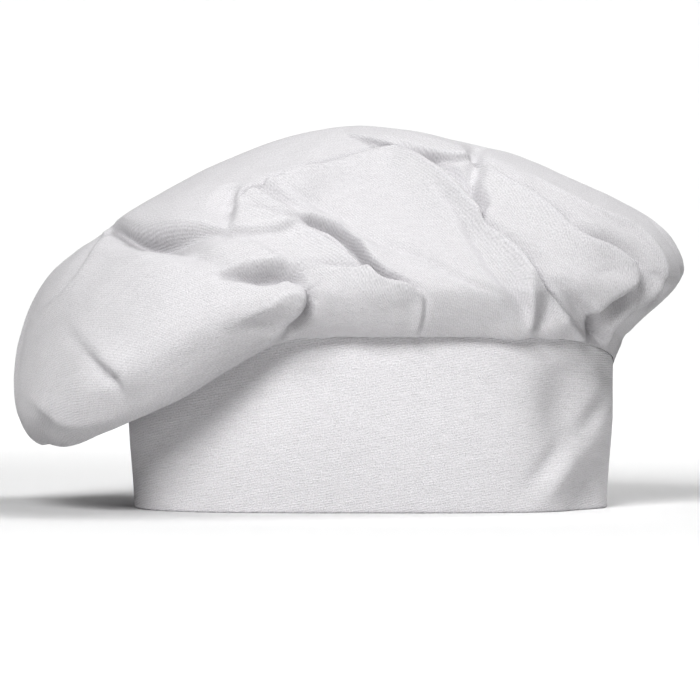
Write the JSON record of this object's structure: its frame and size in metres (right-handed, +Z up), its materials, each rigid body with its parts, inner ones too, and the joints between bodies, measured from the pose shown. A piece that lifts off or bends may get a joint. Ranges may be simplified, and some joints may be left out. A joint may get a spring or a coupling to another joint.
{
  "type": "chef hat",
  "caption": "Soft chef hat: a tall upright cloth band under a full pleated crown that flops down over one side, hollow and open at the foot.",
  "frame": {"origin": "middle of the hat's footprint box, on the surface that the band stands on", "axes": "+Z up through the crown, +X to the right as the hat is seen from its front, -Y the front; the crown flops towards -X"},
  "size_m": [0.2932, 0.2048, 0.167],
  "materials": {
    "band_cloth": "matte white cotton twill, folded double",
    "crown_cloth": "matte white cotton twill, soft folds"
  },
  "bodies": {
    "root": {"band": "band_cloth", "crown": "crown_cloth"}
  },
  "joints": []
}
